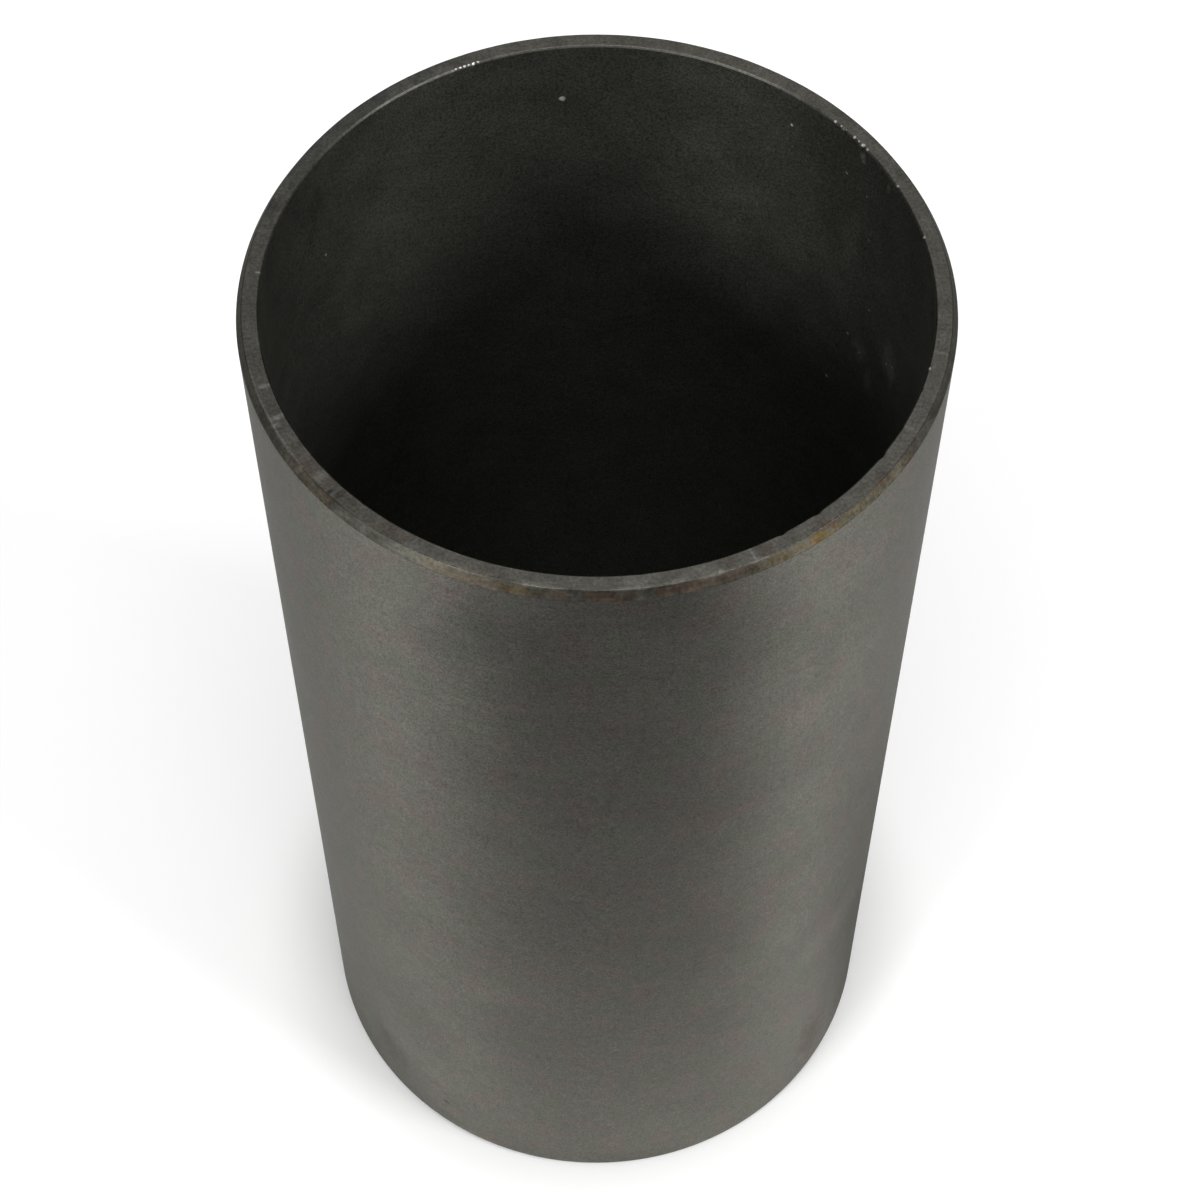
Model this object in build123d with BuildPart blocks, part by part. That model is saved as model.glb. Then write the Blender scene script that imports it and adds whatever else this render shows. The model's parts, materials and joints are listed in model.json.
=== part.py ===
"""Dry cylinder liner: a thin cast-iron sleeve, ground outside and honed inside.

The sleeve is pressed into the bored block of an engine, and the piston runs in its bore. It
has no flange or rib: both ends are alike, each with a lead chamfer outside, so that it starts
squarely in the block, and a small edge break at the mouth of the bore, for the piston rings.
It stands on its lower end face. The origin is the centre of that face, and +Z runs up the bore.
"""
import os

from build123d import *

# Driving dimensions, in millimetres and degrees
bore_diameter = 88.9  # honed running bore, 3 1/2 inches
wall_thickness = 3.05  # from the bore to the ground outside
length = 185.0  # over both end faces
lead_height = 1.4  # of the lead chamfer round the outside of each end, along the axis
lead_angle = 30.0  # of that chamfer, from the ground outside
bore_break = 0.25  # 45 degree edge break at each mouth of the bore

bore_radius = bore_diameter / 2

os.makedirs("parts", exist_ok=True)

# The liner is one turned piece: the section of its wall, revolved about the bore's axis.
with BuildPart() as cylinder_liner:
    with BuildSketch(Plane.XZ) as wall_section:
        with Locations((bore_radius, 0)):
            Rectangle(wall_thickness, length, align=(Align.MIN, Align.MIN))
    revolve(axis=Axis.Z)

    # The lead chamfers cut the two widest rims, and their height is measured on the outside.
    outside = cylinder_liner.faces().filter_by(GeomType.CYLINDER).sort_by(SortBy.AREA)[-1]
    outer_rims = outside.edges().filter_by(GeomType.CIRCLE)
    chamfer(outer_rims, length=lead_height, angle=lead_angle, reference=outside)

    # The edge breaks take the sharp corner off the two narrowest rims.
    rims = cylinder_liner.edges().filter_by(GeomType.CIRCLE)
    chamfer(rims.group_by(SortBy.RADIUS)[0], length=bore_break)

cylinder_liner.part.label = "cylinder_liner"
export_step(cylinder_liner.part, "parts/cylinder_liner.step")
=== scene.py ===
import json
import math

import bpy
import numpy as np
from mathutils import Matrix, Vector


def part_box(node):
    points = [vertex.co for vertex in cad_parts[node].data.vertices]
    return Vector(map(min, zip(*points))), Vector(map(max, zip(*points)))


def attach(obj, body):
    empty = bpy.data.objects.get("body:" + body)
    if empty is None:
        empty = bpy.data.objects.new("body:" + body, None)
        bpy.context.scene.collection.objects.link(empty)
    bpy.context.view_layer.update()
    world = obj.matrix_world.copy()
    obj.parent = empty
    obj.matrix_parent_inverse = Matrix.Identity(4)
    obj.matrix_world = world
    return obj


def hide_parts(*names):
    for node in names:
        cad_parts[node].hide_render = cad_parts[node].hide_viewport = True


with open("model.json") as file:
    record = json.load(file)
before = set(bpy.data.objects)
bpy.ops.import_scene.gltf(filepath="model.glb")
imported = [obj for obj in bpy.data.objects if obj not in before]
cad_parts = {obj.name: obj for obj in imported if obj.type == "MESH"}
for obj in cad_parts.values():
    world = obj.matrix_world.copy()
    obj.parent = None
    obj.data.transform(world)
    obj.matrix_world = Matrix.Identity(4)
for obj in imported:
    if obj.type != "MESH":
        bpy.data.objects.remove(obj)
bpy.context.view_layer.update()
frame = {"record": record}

# The liner is a thin dry sleeve of grey iron, turned from one centrifugal casting. Its outside
# is ground to press into a bored engine block, its bore is honed for the piston, and each end is
# faced, with a lead chamfer outside and a broken edge inside.
mounts = {mount["name"]: mount for mount in frame["record"]["mounts"]}
bore_radius = mounts["bore"]["dims"]["r_mm"] / 1000
outer_radius = mounts["outside"]["dims"]["r_mm"] / 1000
foot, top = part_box("cylinder_liner")
length = top[2] - foot[2]
lead_height = (length - mounts["outside"]["dims"]["length_mm"] / 1000) / 2
lead_angle = math.radians(30)
lead_depth = lead_height * math.tan(lead_angle)
bore_break = (length - mounts["bore"]["dims"]["length_mm"] / 1000) / 2
face_radius = outer_radius - lead_depth
mouth_radius = bore_radius + bore_break
edge_radius = 0.00008
arc_points = 4
turns = 1024


def rounded_section(corners, parts, radius, arc_points):
    """Rounds each corner of a closed outline with an arc, and divides the straight runs between.

    An arc's centre lies on its corner's bisector, and its points are the centre plus the radius
    times a unit vector that turns evenly from one side's normal to the next. A run's points are
    its start plus its length times 10t^3 - 15t^4 + 6t^5 for evenly spaced t, closest at its ends.
    """
    out = np.roll(corners, -1, axis=0) - corners
    out /= np.linalg.norm(out, axis=1, keepdims=True)
    after = np.stack([out[:, 1], -out[:, 0]], axis=1)
    before = np.roll(after, 1, axis=0)
    half = np.arccos(np.clip((before * after).sum(axis=1), -1, 1)) / 2
    bisector = (before + after) / np.linalg.norm(before + after, axis=1, keepdims=True)
    centre = corners - bisector * (radius / np.cos(half))[:, None]
    first = np.arctan2(before[:, 1], before[:, 0])
    turn = first[:, None] + 2 * half[:, None] * np.linspace(0, 1, arc_points)
    arcs = centre[:, None, :] + radius * np.stack([np.cos(turn), np.sin(turn)], axis=2)
    points, runs = [], []
    for corner, count in enumerate(parts):
        start, end = arcs[corner, -1], arcs[(corner + 1) % len(corners), 0]
        t = np.linspace(0, 1, count + 1)[1:-1, None]
        points += [arcs[corner], start + (10 * t**3 - 15 * t**4 + 6 * t**5) * (end - start)]
        runs.append(np.full(arc_points - 1 + count, corner))
    return np.concatenate(points), np.concatenate(runs)


# The section goes round anticlockwise from the foot of the lower chamfer: chamfer, ground wall,
# chamfer, top face, edge break, bore, edge break and bottom face.
parts_of_run = (4, 10, 4, 7, 3, 26, 3, 7)
corners = np.array([
    (face_radius, 0.0),
    (outer_radius, lead_height),
    (outer_radius, length - lead_height),
    (face_radius, length),
    (mouth_radius, length),
    (bore_radius, length - bore_break),
    (bore_radius, bore_break),
    (mouth_radius, 0.0),
])
section, run = rounded_section(corners, parts_of_run, edge_radius, arc_points)
rows = len(section)

# Whole waves round the rim let the face's outer corner wander a few hundredths of a millimetre,
# as a hand-held chamfer tool leaves it. The shorter waves are lower.
wander_reach = 0.00004
wander_seed = 11
fewest_waves, most_waves = 3, 59
azimuth = np.linspace(0, 2 * np.pi, turns, endpoint=False)
dice = np.random.default_rng(wander_seed)
waves = np.arange(fewest_waves, most_waves + 1)
height_of_wave = dice.normal(size=waves.size) / waves**0.5
start_of_wave = dice.uniform(0, 2 * np.pi, waves.size)
wander = (height_of_wave * np.cos(azimuth[:, None] * waves + start_of_wave)).sum(axis=1)
wander *= wander_reach / np.abs(wander).max()

# Small nicks on the bore's upper edge: degrees round from the front, width and depth in metres.
# A nick and the wander both fade out within a few tenths of a millimetre of their edge.
edge_fade = 0.0004
nicks = [
    (7.0, 0.0005, 0.00006), (31.0, 0.0009, 0.00020), (38.2, 0.0010, 0.00020),
    (54.0, 0.0012, 0.00022), (60.5, 0.0006, 0.00010), (69.2, 0.0007, 0.00014),
    (114.7, 0.0004, 0.00010), (125.6, 0.0006, 0.00014), (130.4, 0.0005, 0.00008),
    (-41.0, 0.0005, 0.00006), (-153.5, 0.0004, 0.00006), (-157.5, 0.0005, 0.00008),
]


def turned_surface(section, azimuth):
    """Carries the section round the axis: x = r sin a, y = -r cos a, with a = 0 at the front.

    Near the face's outer corner the radius gains the wander, and near the bore's upper edge each
    nick takes away a bell-shaped depth, outward and down, that fades with distance both ways.
    """
    radius = np.repeat(section[:, :1], azimuth.size, axis=1)
    height = np.repeat(section[:, 1:], azimuth.size, axis=1)
    from_corner = np.hypot(section[:, 0] - face_radius, section[:, 1] - length)
    radius += np.exp(-(from_corner / edge_fade) ** 2)[:, None] * wander
    from_edge = np.hypot(section[:, 0] - bore_radius, section[:, 1] - length + bore_break)
    near_edge = np.exp(-(from_edge / edge_fade) ** 2)[:, None]
    for degrees, width, depth in nicks:
        away = (azimuth - np.radians(degrees) + np.pi) % (2 * np.pi) - np.pi
        dent = depth * near_edge * np.exp(-(away * bore_radius / (width / 2)) ** 2)
        radius += dent
        height -= dent
    return np.stack([radius * np.sin(azimuth), -radius * np.cos(azimuth), height], axis=2)


row, column = np.meshgrid(np.arange(rows), np.arange(turns), indexing="ij")
next_row, next_column = (row + 1) % rows, (column + 1) % turns
quads = np.stack([row * turns + column, row * turns + next_column,
                  next_row * turns + next_column, next_row * turns + column], axis=2)
liner_mesh = bpy.data.meshes.new("cylinder_liner_finish")
liner_mesh.from_pydata(turned_surface(section, azimuth).reshape(-1, 3), [], quads.reshape(-1, 4))
liner_mesh.polygons.foreach_set("use_smooth", np.ones(rows * turns, dtype=bool))

# The "turned" map runs in metres along the section and in whole turns round it, so that a
# brushed highlight can follow the tool marks.
steps = np.linalg.norm(np.roll(section, -1, axis=0) - section, axis=1)
along = np.concatenate([[0], np.cumsum(steps)])
u = np.stack([along[row], along[row], along[row + 1], along[row + 1]], axis=2)
v = np.stack([column, column + 1, column + 1, column], axis=2) / turns
turned_map = liner_mesh.uv_layers.new(name="turned")
turned_map.data.foreach_set("uv", np.stack([u, v], axis=3).ravel())
ground_wall, lead_chamfer, faced_end, honed_bore = range(4)
finish_of_run = np.array([lead_chamfer, ground_wall, lead_chamfer, faced_end,
                          faced_end, honed_bore, faced_end, faced_end])
liner_mesh.polygons.foreach_set("material_index", np.repeat(finish_of_run[run], turns))
liner = bpy.data.objects.new("cylinder_liner_finish", liner_mesh)
bpy.context.collection.objects.link(liner)


# The liner is bare iron all over, in four finishes. Each takes its colour, roughness and relief
# from noise, and from marks that are placed one by one round the liner.
def add(tree, kind, sockets=None, out=0, **settings):
    """Adds a node, makes its settings, fills or links its sockets, and gives one output."""
    made = tree.nodes.new("ShaderNode" + kind)
    for setting, value in settings.items():
        setattr(made, setting, value)
    for socket, value in (sockets or {}).items():
        if isinstance(value, bpy.types.NodeSocket):
            tree.links.new(value, made.inputs[socket])
        else:
            made.inputs[socket].default_value = value
    return made.outputs[out]


def calc(tree, operation, *values):
    """Does one step of arithmetic on numbers and outputs."""
    return add(tree, "Math", dict(enumerate(values)), operation=operation)


def rise(tree, value, low, high, bottom=0.0, top=1.0):
    """Goes smoothly from bottom to top as a value goes from low to high."""
    sockets = {"Value": value, "From Min": low, "From Max": high, "To Min": bottom, "To Max": top}
    return add(tree, "MapRange", sockets, interpolation_type="SMOOTHSTEP")


def cloud(tree, place, per_metre, detail, spread, middle=1.0):
    """Fractal noise with so many features per metre, from middle - spread to middle + spread.

    The noise node's own values lie between a quarter and three quarters almost everywhere.
    """
    noise = add(tree, "TexNoise", {"Vector": place, "Scale": per_metre, "Detail": detail})
    sockets = {"Value": noise, "From Min": 0.25, "From Max": 0.75,
               "To Min": middle - spread, "To Max": middle + spread}
    return add(tree, "MapRange", sockets)


def stretch(tree, place, scales):
    """Scales a place by its own factor on each axis, so that noise on it becomes streaks."""
    return add(tree, "VectorMath", {0: place, 1: scales}, operation="MULTIPLY")


def length_of(tree, vector):
    """Gives a vector's length."""
    return add(tree, "VectorMath", {0: vector}, out="Value", operation="LENGTH")


def turned_place(tree):
    """Gives a point's place, its distance from the axis, height, degrees round and direction.

    The degrees are 0 at the front and grow to the right, and the direction is the unit vector
    that points straight out from the axis.
    """
    place = add(tree, "TexCoord", out="Object")
    x, y, height = add(tree, "SeparateXYZ", {0: place}).node.outputs
    flat = stretch(tree, place, (1, 1, 0))
    reach = length_of(tree, flat)
    degrees = calc(tree, "DEGREES", calc(tree, "ARCTAN2", x, calc(tree, "MULTIPLY", y, -1.0)))
    direction = add(tree, "VectorMath", {0: flat}, operation="NORMALIZE")
    return {"place": place, "reach": reach, "height": height, "degrees": degrees,
            "direction": direction}


def largest(tree, masks):
    """Joins masks by taking the largest at each point."""
    joined = masks[0]
    for mask in masks[1:]:
        joined = calc(tree, "MAXIMUM", joined, mask)
    return joined


def blots(tree, spread, ragged, ovals):
    """Ragged ovals on a map: degrees, half width, place across, half height and strength.

    Each is its strength where the scaled distance from its middle plus the raggedness is under
    a fifth, and falls smoothly to 0 at 1.
    """
    masks = []
    for degrees, half_width, across, half_height, strength in ovals:
        scaled = add(tree, "VectorMath", {0: spread, 1: (1 / half_width, 1 / half_height, 0),
                                          2: (-degrees / half_width, -across / half_height, 0)},
                     operation="MULTIPLY_ADD")
        away = calc(tree, "ADD", length_of(tree, scaled), ragged)
        masks.append(rise(tree, away, low=0.2, high=1.0, bottom=strength, top=0.0))
    return largest(tree, masks)


def mix(tree, share, first, second):
    """Mixes two colours by a share."""
    return add(tree, "Mix", {0: share, 6: first, 7: second}, out=2, data_type="RGBA")


def product(tree, factors):
    """Multiplies numbers and outputs together."""
    result = factors[0]
    for factor in factors[1:]:
        result = calc(tree, "MULTIPLY", result, factor)
    return result


def start_iron(name, metallic, anisotropic, edge_tint):
    """Starts a bare iron finish, whose highlights spread across the tool marks."""
    material = bpy.data.materials.new(name)
    material.use_nodes = True
    tree = material.node_tree
    shader = tree.nodes["Principled BSDF"]
    shader.inputs["Metallic"].default_value = metallic
    shader.inputs["Anisotropic"].default_value = anisotropic
    shader.inputs["Specular Tint"].default_value = (edge_tint, edge_tint, edge_tint, 1)
    across = add(tree, "Tangent", direction_type="UV_MAP", uv_map="turned")
    tree.links.new(across, shader.inputs["Tangent"])
    liner_mesh.materials.append(material)
    return tree, shader


def finish_iron(tree, shader, colour, strength, roughness, relief, relief_depth):
    """Links the colour times its strength, the roughness and the relief to the shader."""
    shaded = add(tree, "VectorMath", {0: colour, "Scale": strength}, operation="SCALE")
    tree.links.new(shaded, shader.inputs["Base Color"])
    tree.links.new(roughness, shader.inputs["Roughness"])
    bump = add(tree, "Bump", {"Height": relief, "Strength": 1.0, "Distance": relief_depth})
    tree.links.new(bump, shader.inputs["Normal"])


# Ground wall: fine short streaks round the liner from the grinding wheel, a sandy grain where
# the iron's graphite shows, a faint bloom of oil that turns it warm or green, and a few stains.
# One oval among them is painted shade, low on the right by the foot. The ovals are placed by
# degrees round and height above the foot.
ground_iron = (0.165, 0.159, 0.140, 1)
warm_iron = (0.176, 0.156, 0.139, 1)
green_iron = (0.158, 0.163, 0.135, 1)
stain_and_shade_brown = (0.062, 0.049, 0.036, 1)
wall_roughness = 0.40
wall_relief = 0.0000025
grain_relief = 0.5
streak_flatness = 40
tree, shader = start_iron("ground_wall", metallic=1.0, anisotropic=0.75, edge_tint=0.55)
at = turned_place(tree)
grain = cloud(tree, at["place"], per_metre=3300, detail=2, spread=0.38)
short_streak = stretch(tree, at["place"], (1, 1, streak_flatness))
streaks = cloud(tree, short_streak, per_metre=90, detail=2, spread=0.08)
clouds = cloud(tree, at["place"], per_metre=60, detail=4, spread=0.10)
mottle = cloud(tree, at["place"], per_metre=700, detail=3, spread=0.09)
bloom = cloud(tree, at["place"], per_metre=190, detail=5, spread=0.5, middle=0.5)
ragged = cloud(tree, at["place"], per_metre=700, detail=2, spread=0.3, middle=0.0)
spread = add(tree, "CombineXYZ", {"X": at["degrees"], "Y": at["height"]})
warm = rise(tree, bloom, low=0.5, high=0.8, bottom=0.0, top=1.0)
green = rise(tree, bloom, low=0.2, high=0.5, bottom=1.0, top=0.0)
colour = mix(tree, warm, ground_iron, warm_iron)
colour = mix(tree, green, colour, green_iron)
stains_and_foot_shade = blots(tree, spread, ragged, [
    (-33.6, 1.2, 0.0100, 0.0009, 0.8), (-49.5, 6.0, 0.0150, 0.0080, 0.25),
    (10.0, 0.5, 0.0950, 0.0005, 0.4), (41.0, 6.0, 0.1500, 0.0100, 0.10),
    (152.0, 1.0, 0.0650, 0.0010, 0.6), (-118.0, 5.0, 0.1200, 0.0120, 0.15),
    # The oval at 53 degrees is painted shade low on the right by the foot, not a stain.
    (96.0, 0.8, 0.0320, 0.0008, 0.5), (53.0, 7.0, 0.0140, 0.0120, 0.35),
])
colour = mix(tree, stains_and_foot_shade, colour, stain_and_shade_brown)
finish_iron(tree, shader, colour,
            strength=product(tree, [grain, streaks, clouds, mottle]),
            roughness=product(tree, [wall_roughness, clouds, streaks]),
            relief=calc(tree, "ADD", calc(tree, "MULTIPLY", grain, grain_relief), streaks),
            relief_depth=wall_relief)

# Lead chamfers: a coarser turned cone that keeps rust and old oil in patches, red, yellow and
# dark. Its upper corner is lighter in places, partly rubbed and partly a painted highlight, and
# has a thin line of painted shade right at the corner that dims its highlight. The patches are
# placed by degrees round and by the share of the way down the upper chamfer, 0 at its top and 1
# at the ground wall.
chamfer_iron = (0.106, 0.103, 0.087, 1)
rust_haze = (0.100, 0.082, 0.060, 1)
yellow_rust = (0.138, 0.098, 0.039, 1)
red_rust = (0.117, 0.073, 0.050, 1)
old_oil = (0.055, 0.056, 0.042, 1)
clean_iron = (0.28, 0.26, 0.20, 1)
corner_shade_colour = (0.040, 0.040, 0.034, 1)
rubbed_and_highlight_iron = (0.30, 0.29, 0.25, 1)
chamfer_roughness = 0.47
chamfer_relief = 0.000006
mark_flatness = 30
tree, shader = start_iron("lead_chamfer", metallic=1.0, anisotropic=0.5, edge_tint=0.55)
at = turned_place(tree)
from_top = calc(tree, "SUBTRACT", length, at["height"])
across = calc(tree, "DIVIDE", from_top, lead_height)
spread = add(tree, "CombineXYZ", {"X": at["degrees"], "Y": across})
grain = cloud(tree, at["place"], per_metre=2200, detail=3, spread=0.32)
turned_mark = stretch(tree, at["place"], (1, 1, mark_flatness))
marks = cloud(tree, turned_mark, per_metre=130, detail=2, spread=0.14)
patches = cloud(tree, at["place"], per_metre=420, detail=4, spread=0.24)
ragged = cloud(tree, at["place"], per_metre=900, detail=4, spread=0.7, middle=0.0)
haze = cloud(tree, at["place"], per_metre=130, detail=4, spread=0.5, middle=0.5)
haze = rise(tree, haze, low=0.60, high=0.9, bottom=0.0, top=0.6)
colour = mix(tree, haze, chamfer_iron, rust_haze)
yellow = blots(tree, spread, ragged, [
    (-48.0, 6.0, 0.6, 1.0, 0.25), (-25.5, 6.0, 0.4, 0.9, 0.12), (-12.5, 5.0, 0.5, 0.9, 0.45),
    (4.0, 3.0, 0.9, 0.5, 0.25), (29.0, 5.5, 0.7, 0.8, 0.50), (36.8, 5.0, 0.7, 0.8, 1.00),
    (44.0, 6.0, 0.6, 0.8, 0.45), (51.0, 6.0, 0.6, 1.0, 0.40),
])
colour = mix(tree, yellow, colour, yellow_rust)
red = blots(tree, spread, ragged, [
    (-52.5, 6.0, 0.5, 1.2, 0.30), (-45.5, 2.8, 0.1, 0.8, 0.50), (-18.0, 5.0, 0.5, 1.0, 0.45),
    (-6.0, 3.5, 0.4, 1.0, 0.40), (2.0, 5.0, 0.5, 1.1, 0.60), (13.0, 6.5, 0.5, 1.1, 0.60),
    (21.0, 6.5, 0.5, 1.1, 0.60), (38.8, 2.4, 0.2, 0.7, 0.80), (49.5, 2.4, 0.2, 0.7, 1.00),
    (56.5, 5.5, 0.4, 1.0, 0.25),
])
colour = mix(tree, red, colour, red_rust)
dark = blots(tree, spread, ragged, [
    (-31.0, 10.0, 0.5, 1.5, 0.15), (-22.0, 7.0, 0.6, 1.1, 0.20), (6.5, 3.5, 0.5, 0.9, 0.30),
    (23.0, 8.0, 0.7, 0.9, 0.35), (41.0, 7.0, 0.5, 1.2, 0.30), (66.0, 11.0, 0.5, 1.1, 0.20),
])
colour = mix(tree, dark, colour, old_oil)
clean = blots(tree, spread, ragged, [(-50.0, 6.0, 0.7, 1.0, 0.22), (52.0, 6.0, 0.7, 1.0, 0.32)])
colour = mix(tree, clean, colour, clean_iron)
# Painted shade along the chamfer's upper corner, to dim the highlight on its edge.
corner_shade = rise(tree, from_top, low=0.00004, high=0.00022, bottom=0.7, top=0.0)
colour = mix(tree, corner_shade, colour, corner_shade_colour)

# Where the upper corner is lighter, partly rubbed by a hand or a rag and partly a painted
# highlight along its edge: degrees round, half width and strength. The faced end has the same
# places.
rubbed_and_highlight_places = [
    (-63.0, 16.0, 0.45), (-20.0, 7.0, 0.15), (-9.0, 5.5, 0.45), (5.0, 8.0, 0.35),
    (18.5, 5.0, 0.40), (25.0, 3.0, 0.35), (72.0, 12.0, 0.15),
]
rubbed_and_highlight_down = 0.22
rubbed_and_highlight_raggedness = 0.6
rubbed_and_highlight = blots(tree, spread, calc(tree, "MULTIPLY", ragged, rubbed_and_highlight_raggedness), [
    (middle, half_width, 0.0, rubbed_and_highlight_down, strength)
    for middle, half_width, strength in rubbed_and_highlight_places])
colour = mix(tree, rubbed_and_highlight, colour, rubbed_and_highlight_iron)
finish_iron(tree, shader, colour,
            strength=product(tree, [grain, marks, patches]),
            roughness=product(tree, [chamfer_roughness, patches]),
            relief=calc(tree, "ADD", grain, marks),
            relief_depth=chamfer_relief)

# Faced ends and edge breaks: fine rings from the facing tool, painted shade over the left side,
# faint marks across them from handling, and bruises where the bore's edge was knocked, painted
# bright as glints. A thin line of painted shade dims the highlights on the outer corner and the
# edge break. Marks are placed by degrees round and by the share of the way out from the bore to
# the chamfer.
faced_iron = (0.129, 0.125, 0.108, 1)
shaded_face_iron = (0.055, 0.057, 0.056, 1)
rust_tint = (0.114, 0.088, 0.074, 1)
dull_iron = (0.050, 0.046, 0.040, 1)
wiped_and_glint_iron = (0.34, 0.33, 0.30, 1)
edge_shade_colour = (0.040, 0.040, 0.034, 1)
rubbed_and_highlight_face = (0.28, 0.27, 0.235, 1)
glint_bright_iron = (0.60, 0.60, 0.56, 1)
face_roughness = 0.43
face_relief = 0.000005
rings_per_metre = 4500.0
ring_changes = 14
handling_marks = 95
wiped_raggedness = 0.5
tree, shader = start_iron("faced_end", metallic=1.0, anisotropic=0.4, edge_tint=0.55)
at = turned_place(tree)
from_bore = calc(tree, "SUBTRACT", at["reach"], bore_radius)
across = calc(tree, "DIVIDE", from_bore, face_radius - bore_radius)
spread = add(tree, "CombineXYZ", {"X": at["degrees"], "Y": across})
grain = cloud(tree, at["place"], per_metre=2400, detail=2, spread=0.30)
outwards = add(tree, "CombineXYZ", {"Z": calc(tree, "MULTIPLY", at["reach"], rings_per_metre)})
long_way = stretch(tree, at["direction"], (ring_changes, ring_changes, 0))
ring_place = add(tree, "VectorMath", {0: long_way, 1: outwards}, operation="ADD")
rings = cloud(tree, ring_place, per_metre=1.0, detail=2, spread=0.10)
crossways = stretch(tree, at["direction"], (handling_marks, handling_marks, 0))
wiped = cloud(tree, crossways, per_metre=1.0, detail=2, spread=0.10)
patches = cloud(tree, at["place"], per_metre=420, detail=4, spread=0.20)
ragged = cloud(tree, at["place"], per_metre=900, detail=3, spread=0.4, middle=0.0)
# Painted shade over the left side of the face, darkest to the back left.
left_side_shade = blots(tree, spread, ragged, [
    (-128.0, 38.0, 0.5, 6.0, 0.60), (-95.0, 75.0, 0.5, 9.0, 0.22), (-60.0, 14.0, 0.5, 4.0, 0.10),
])
colour = mix(tree, left_side_shade, faced_iron, shaded_face_iron)
tinted = blots(tree, spread, ragged, [
    (-53.0, 5.0, 0.7, 0.8, 0.55), (-48.0, 1.6, 0.5, 0.7, 0.50), (-34.0, 6.0, 0.5, 0.8, 0.40),
    (-18.0, 4.0, 0.7, 0.6, 0.25), (21.0, 2.2, 0.5, 0.8, 0.45), (27.5, 1.8, 0.5, 0.9, 0.55),
    (37.5, 2.0, 0.7, 0.6, 0.50), (50.0, 1.6, 0.9, 0.4, 0.50),
])
colour = mix(tree, tinted, colour, rust_tint)
dull = blots(tree, spread, ragged, [
    (-110.0, 3.0, 0.5, 1.2, 0.30), (-46.3, 0.7, 0.8, 0.5, 0.90), (-44.7, 0.8, 0.6, 0.8, 0.60),
    (-42.0, 1.6, 0.4, 0.5, 0.35), (-30.5, 1.2, 0.3, 0.6, 0.25), (26.6, 1.3, 0.5, 1.2, 0.35),
    (116.0, 3.0, 0.7, 0.6, 0.30), (132.0, 4.0, 0.8, 0.5, 0.30),
])
colour = mix(tree, dull, colour, dull_iron)
# Lighter marks from handling, and at -94.4 degrees a small painted glint.
wiped_and_glint = blots(tree, spread, calc(tree, "MULTIPLY", ragged, wiped_raggedness), [
    (-94.4, 0.35, 0.2, 0.3, 0.90), (-70.2, 0.6, 0.4, 0.7, 0.35), (-63.4, 0.7, 0.5, 0.8, 0.45),
    (-62.0, 0.8, 0.8, 0.4, 0.35), (-49.6, 1.3, 0.5, 0.6, 0.25), (-22.5, 2.5, 0.95, 0.3, 0.25),
    (-10.0, 3.0, 0.9, 0.3, 0.25), (12.0, 3.0, 0.9, 0.3, 0.20), (19.3, 0.7, 0.9, 0.3, 0.45),
    (25.0, 0.35, 0.5, 1.3, 0.30), (61.0, 0.7, 0.4, 0.6, 0.20), (77.5, 0.5, 0.5, 0.8, 0.30),
])
colour = mix(tree, wiped_and_glint, colour, wiped_and_glint_iron)
# Painted shade along the face's outer corner and along the edge break, to dim their highlights.
from_corner = calc(tree, "SUBTRACT", face_radius, at["reach"])
corner_shade = rise(tree, from_corner, low=0.00004, high=0.00012, bottom=0.6, top=0.0)
break_shade = rise(tree, at["reach"], low=bore_radius + 0.0001, high=mouth_radius + 0.00005,
              bottom=0.7, top=0.0)
colour = mix(tree, calc(tree, "MAXIMUM", corner_shade, break_shade), colour, edge_shade_colour)
rubbed_and_highlight_in = 0.18
# The upper corner's lighter places again, partly rubbed and partly a painted highlight.
rubbed_and_highlight = blots(tree, spread, calc(tree, "MULTIPLY", ragged, rubbed_and_highlight_raggedness), [
    (middle, half_width, 1.0, rubbed_and_highlight_in, strength)
    for middle, half_width, strength in rubbed_and_highlight_places])
colour = mix(tree, rubbed_and_highlight, colour, rubbed_and_highlight_face)


def specks(tree, place, radius, spots):
    """Dots on a cylinder of the given radius: degrees round, depth below the top, dot radius.

    Each is full out to two fifths of its radius, and falls smoothly to 0 at its edge.
    """
    dots = []
    for degrees, depth, size in spots:
        turn = math.radians(degrees)
        centre = (radius * math.sin(turn), -radius * math.cos(turn), length - depth)
        away = add(tree, "VectorMath", {0: place, 1: centre}, out="Value", operation="DISTANCE")
        dots.append(rise(tree, away, low=size * 0.4, high=size, bottom=1.0, top=0.0))
    return largest(tree, dots)


# The bruises are knocked places painted bright as glints, where the edge catches the light. They
# sit on the top edge break: degrees round and radius in metres.
knock_share = 0.7
knock_glints = [
    (73.9, 0.0003), (102.5, 0.0003), (114.7, 0.0003), (124.4, 0.0003), (125.6, 0.0004),
    (126.8, 0.0002), (128.0, 0.0003), (130.2, 0.0002), (131.4, 0.0002), (132.9, 0.0003),
    (-153.8, 0.00024), (-154.7, 0.00022), (-155.5, 0.00026), (-156.3, 0.00022),
    (-157.2, 0.00026), (-158.1, 0.00024),
]
knock_radius = bore_radius + bore_break * knock_share
bruise_glints = specks(tree, at["place"], knock_radius,
                 [(middle, 0.0, size) for middle, size in knock_glints])
colour = mix(tree, bruise_glints, colour, glint_bright_iron)
finish_iron(tree, shader, colour,
            strength=product(tree, [grain, rings, wiped, patches]),
            roughness=product(tree, [face_roughness, patches]),
            relief=calc(tree, "ADD", calc(tree, "MULTIPLY", grain, grain_relief), rings),
            relief_depth=face_relief)

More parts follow.
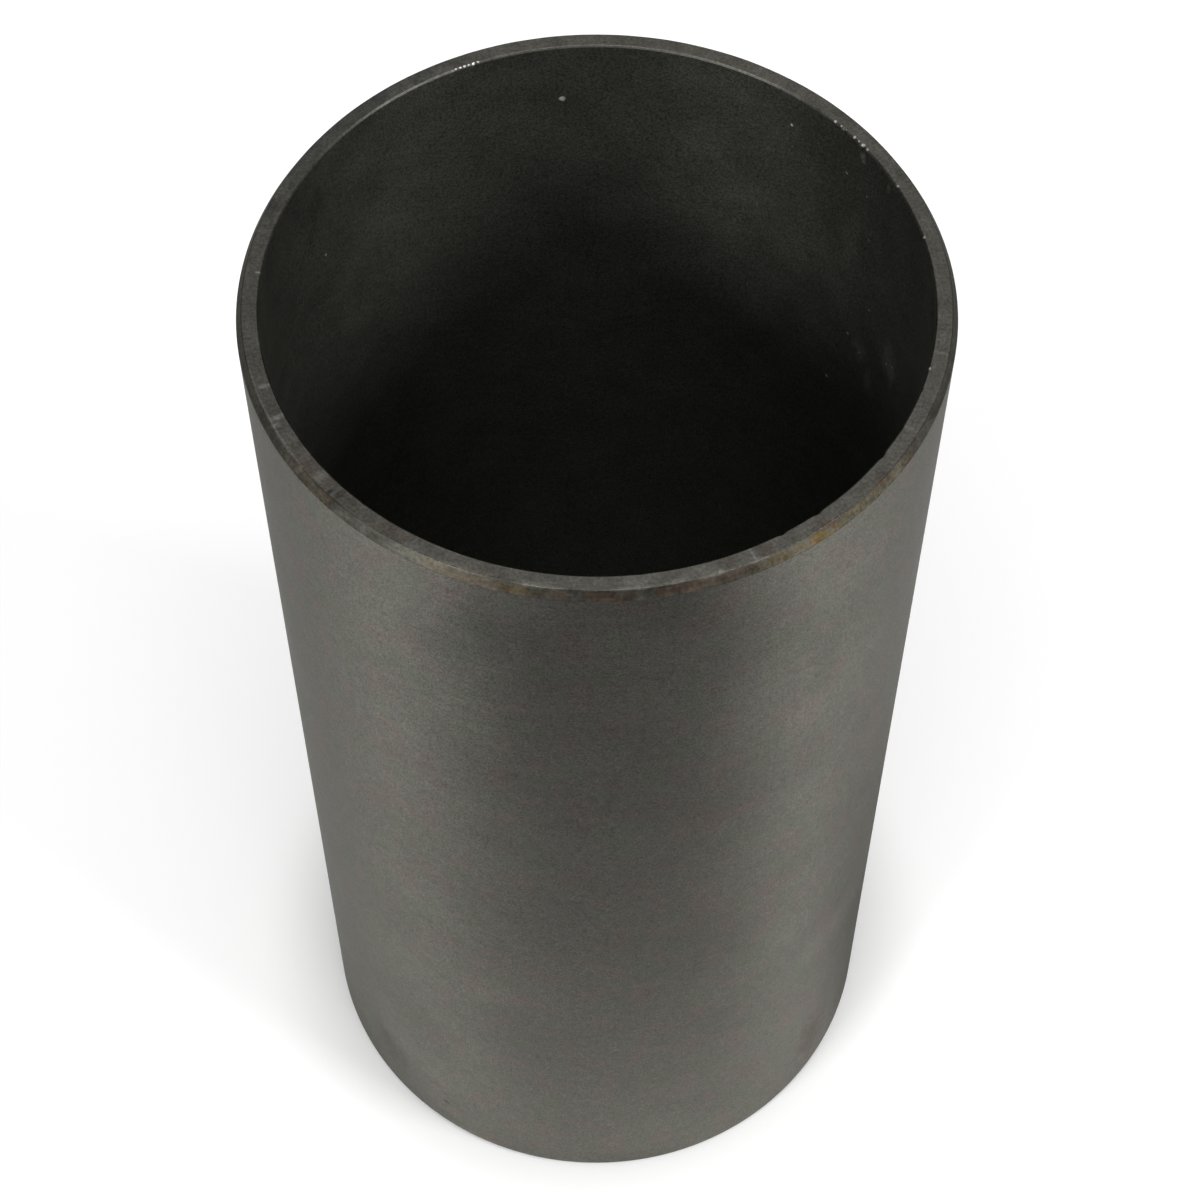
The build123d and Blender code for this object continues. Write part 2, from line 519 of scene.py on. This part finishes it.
# Honed bore: two sets of fine hone scratches that cross as they wind up the bore, over dark
# iron, with a few dust specks, smears of dust on one side and an oily run near the top. These
# are placed by degrees round and depth below the top.
honed_iron = (0.070, 0.070, 0.061, 1)
oily_iron = (0.028, 0.029, 0.026, 1)
dust_smear = (0.42, 0.41, 0.37, 1)
faint_speck = (0.42, 0.39, 0.34, 1)
bright_speck = (0.75, 0.73, 0.66, 1)
bore_roughness = 0.50
bore_relief = 0.000004
hone_angle = math.radians(24)
scratches_round = 90
scratches_up = 60.0
tree, shader = start_iron("honed_bore", metallic=0.85, anisotropic=0.6, edge_tint=0.4)
at = turned_place(tree)
grain = cloud(tree, at["place"], per_metre=3000, detail=2, spread=0.55)
scratches = []
for hand in (1.0, -1.0):
    turn_per_metre = hand / (bore_radius * math.tan(hone_angle))
    wound = calc(tree, "MULTIPLY", at["height"], turn_per_metre)
    turned = add(tree, "VectorRotate", {"Vector": at["direction"], "Angle": wound},
                 rotation_type="Z_AXIS")
    up = add(tree, "CombineXYZ", {"Z": calc(tree, "MULTIPLY", at["height"], scratches_up)})
    thread = stretch(tree, turned, (scratches_round, scratches_round, 0))
    thread = add(tree, "VectorMath", {0: thread, 1: up}, operation="ADD")
    scratches.append(cloud(tree, thread, per_metre=1.0, detail=1, spread=0.10))
patches = cloud(tree, at["place"], per_metre=140, detail=3, spread=0.06)
ragged = cloud(tree, at["place"], per_metre=500, detail=3, spread=0.5, middle=0.0)
depth = calc(tree, "SUBTRACT", length, at["height"])
spread = add(tree, "CombineXYZ", {"X": at["degrees"], "Y": depth})
oily = blots(tree, spread, ragged, [
    (-175.0, 9.0, 0.0400, 0.0100, 0.10), (-120.0, 1.6, 0.0065, 0.0035, 0.35),
    (-118.2, 1.6, 0.0095, 0.0035, 0.35), (-116.2, 1.6, 0.0125, 0.0035, 0.30),
])
colour = mix(tree, oily, honed_iron, oily_iron)
dusty = blots(tree, spread, ragged, [
    (108.5, 4.0, 0.0335, 0.0045, 0.14), (115.5, 2.5, 0.0440, 0.0030, 0.10),
    (117.0, 0.8, 0.0022, 0.0014, 0.25), (119.5, 3.0, 0.0400, 0.0030, 0.10),
    (125.0, 0.9, 0.0019, 0.0012, 0.30), (125.5, 3.0, 0.0200, 0.0080, 0.06),
])
colour = mix(tree, dusty, colour, dust_smear)
faint_dust = specks(tree, at["place"], bore_radius, [
    (107.4, 0.0329, 0.0002), (109.8, 0.0344, 0.0003), (118.1, 0.0293, 0.0002),
    (119.4, 0.0403, 0.0002), (120.8, 0.0160, 0.0002), (122.8, 0.0083, 0.0002),
    (123.5, 0.0392, 0.0003), (128.0, 0.0531, 0.0004), (128.7, 0.0076, 0.0003),
    (239.6, 0.0190, 0.0003),
])
colour = mix(tree, faint_dust, colour, faint_speck)
bright_dust = specks(tree, at["place"], bore_radius, [
    (142.2, 0.0059, 0.0003), (186.5, 0.0103, 0.0006),
])
colour = mix(tree, bright_dust, colour, bright_speck)
finish_iron(tree, shader, colour,
            strength=product(tree, [grain, scratches[0], scratches[1], patches]),
            roughness=product(tree, [bore_roughness, patches]),
            relief=calc(tree, "ADD", scratches[0], scratches[1]),
            relief_depth=bore_relief)

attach(liner, "root")
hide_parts("cylinder_liner")


# The floor is plain white paper. Light Path lets the camera and the metal see it as white,
# outside the sleeve only, so that the inside of the sleeve stays dark.
def plain_sheet(name, half_side, level):
    """Makes a flat square round the origin, at a level, and gives it with its node tree."""
    corner_places = [(-half_side, -half_side, level), (half_side, -half_side, level),
                     (half_side, half_side, level), (-half_side, half_side, level)]
    mesh = bpy.data.meshes.new(name)
    mesh.from_pydata(corner_places, [], [(0, 1, 2, 3)])
    sheet = bpy.data.objects.new(name, mesh)
    bpy.context.collection.objects.link(sheet)
    material = bpy.data.materials.new(name)
    material.use_nodes = True
    mesh.materials.append(material)
    return sheet, material.node_tree


floor_half = 6.0
paper_colour = (0.86, 0.86, 0.86, 1)
paper_roughness = 0.9
floor_lift = 0.20
lift_start, lift_full = outer_radius * 0.95, outer_radius * 1.35
tree = plain_sheet("floor", floor_half, 0.0)[1]
shader = tree.nodes["Principled BSDF"]
shader.inputs["Base Color"].default_value = paper_colour
shader.inputs["Roughness"].default_value = paper_roughness
shader.inputs["Emission Color"].default_value = (1, 1, 1, 1)
ray = add(tree, "LightPath").node.outputs
place = add(tree, "TexCoord", out="Object")
outside = rise(tree, length_of(tree, place), low=lift_start, high=lift_full)
seen = calc(tree, "ADD", ray["Is Glossy Ray"], ray["Is Transmission Ray"])
seen = calc(tree, "ADD", ray["Is Camera Ray"], seen)
lift = product(tree, [seen, outside, floor_lift])
tree.links.new(lift, shader.inputs["Emission Strength"])

# A dark card lies on the floor, where only the metal sees it, as the dark room behind the camera
# and past the paper. It fades out towards the liner's foot and to both sides, but for a short
# dark patch by the foot, to the right and rear.
card_level = 0.002
card_colour = (0.02, 0.02, 0.02, 1)
card_clear, card_full = 0.03, 0.19
card_side, card_dark = 0.35, 0.92
paper_end, room_start, room_dark = 0.3, 0.7, 0.8
patch_way = (0.93, 0.37, 0)
patch_edge = 0.55
patch_near, patch_far = 0.07, 0.12
patch_near_dark, patch_far_dark = 0.70, 0.06
card, tree = plain_sheet("dark_card", floor_half, card_level)
card.visible_camera = False
card.visible_diffuse = False
card.visible_shadow = False
place = add(tree, "TexCoord", out="Object")
reach = length_of(tree, place)
ahead = add(tree, "VectorMath", {0: place}, operation="NORMALIZE")
to_back = add(tree, "SeparateXYZ", {0: ahead}, out="Y")
in_front = rise(tree, to_back, low=-card_side, high=-1.0, bottom=0.0, top=card_dark)
share = calc(tree, "MULTIPLY", rise(tree, reach, low=card_clear, high=card_full), in_front)
room = rise(tree, reach, low=paper_end, high=room_start, bottom=0.0, top=room_dark)
share = calc(tree, "MAXIMUM", share, room)
beside = add(tree, "VectorMath", {0: ahead, 1: patch_way}, out="Value", operation="DOT_PRODUCT")
fading = rise(tree, reach, low=patch_near, high=patch_far,
              bottom=patch_near_dark, top=patch_far_dark)
patch = calc(tree, "MULTIPLY", rise(tree, beside, low=patch_edge, high=1.0), fading)
share = calc(tree, "MAXIMUM", share, patch)
card_finish = add(tree, "BsdfDiffuse", {"Color": card_colour})
faded = add(tree, "MixShader", {0: share, 1: add(tree, "BsdfTransparent"), 2: card_finish})
tree.links.new(faded, tree.nodes["Material Output"].inputs["Surface"])

# The studio round the liner is a pale room, a little brighter to the right. It is dark low
# down on every side, where its walls are.
world_level, world_low = 0.6, 0.05
left_share, right_share = 0.6, 1.4
low_end, high_start = 0.15, 0.5
world = bpy.data.worlds.new("studio")
bpy.context.scene.world = world
world.use_nodes = True
tree = world.node_tree
sky = add(tree, "SeparateXYZ", {0: add(tree, "TexCoord", out="Generated")}).node.outputs
side = add(tree, "MapRange", {"Value": sky["X"], "From Min": -1.0, "From Max": 1.0,
                              "To Min": left_share, "To Max": right_share})
low = rise(tree, sky["Z"], low=low_end, high=high_start, bottom=world_low, top=1.0)
background = tree.nodes["Background"].inputs
tree.links.new(product(tree, [side, low, world_level]), background["Strength"])
background["Color"].default_value = (1, 1, 1, 1)


# Two small soft boxes stand left and right of the camera, a third hangs above it, and all three
# face the middle of the liner.
def soft_box(name, azimuth, elevation, size, power, distance=1.6):
    """A rectangular lamp at an azimuth from the front and an elevation, facing the liner."""
    data = bpy.data.lights.new(name, "AREA")
    data.shape = "RECTANGLE"
    data.size, data.size_y = size
    data.energy = power
    box = bpy.data.objects.new(name, data)
    turn, lift = math.radians(azimuth), math.radians(elevation)
    box.location = (distance * math.sin(turn) * math.cos(lift),
                    -distance * math.cos(turn) * math.cos(lift),
                    length / 2 + distance * math.sin(lift))
    box.rotation_euler = (math.pi / 2 - lift, 0, turn)
    bpy.context.collection.objects.link(box)


soft_box("left_soft_box", azimuth=-44, elevation=27, size=(0.5, 0.4), power=12.2)
soft_box("right_soft_box", azimuth=62, elevation=31, size=(0.5, 0.4), power=11.3)
soft_box("top_soft_box", azimuth=0, elevation=70, size=(0.8, 0.5), power=6.7)

# The camera looks down at the liner from the front, 57 degrees below level. Its lens and middle
# column are given in pixels of a square frame, and its place in the liner's outer radii.
sensor_width = 36
image_side = 1200
lens_in_pixels = 2806
middle_column = 596.6
camera_back, camera_up = 4.945, 6.044
look_down, roll = 0.994, 0.0015
camera_data = bpy.data.cameras.new("camera")
camera_data.sensor_width = sensor_width
camera_data.lens = sensor_width * lens_in_pixels / image_side
camera_data.shift_x = (image_side / 2 - middle_column) / image_side
camera = bpy.data.objects.new("camera", camera_data)
camera.location = (0, -camera_back * outer_radius, length + camera_up * outer_radius)
camera.rotation_mode = "ZYX"
camera.rotation_euler = (math.pi / 2 - look_down, 0, roll)
bpy.context.collection.objects.link(camera)
bpy.context.scene.camera = camera
bpy.context.scene.view_settings.view_transform = "Standard"
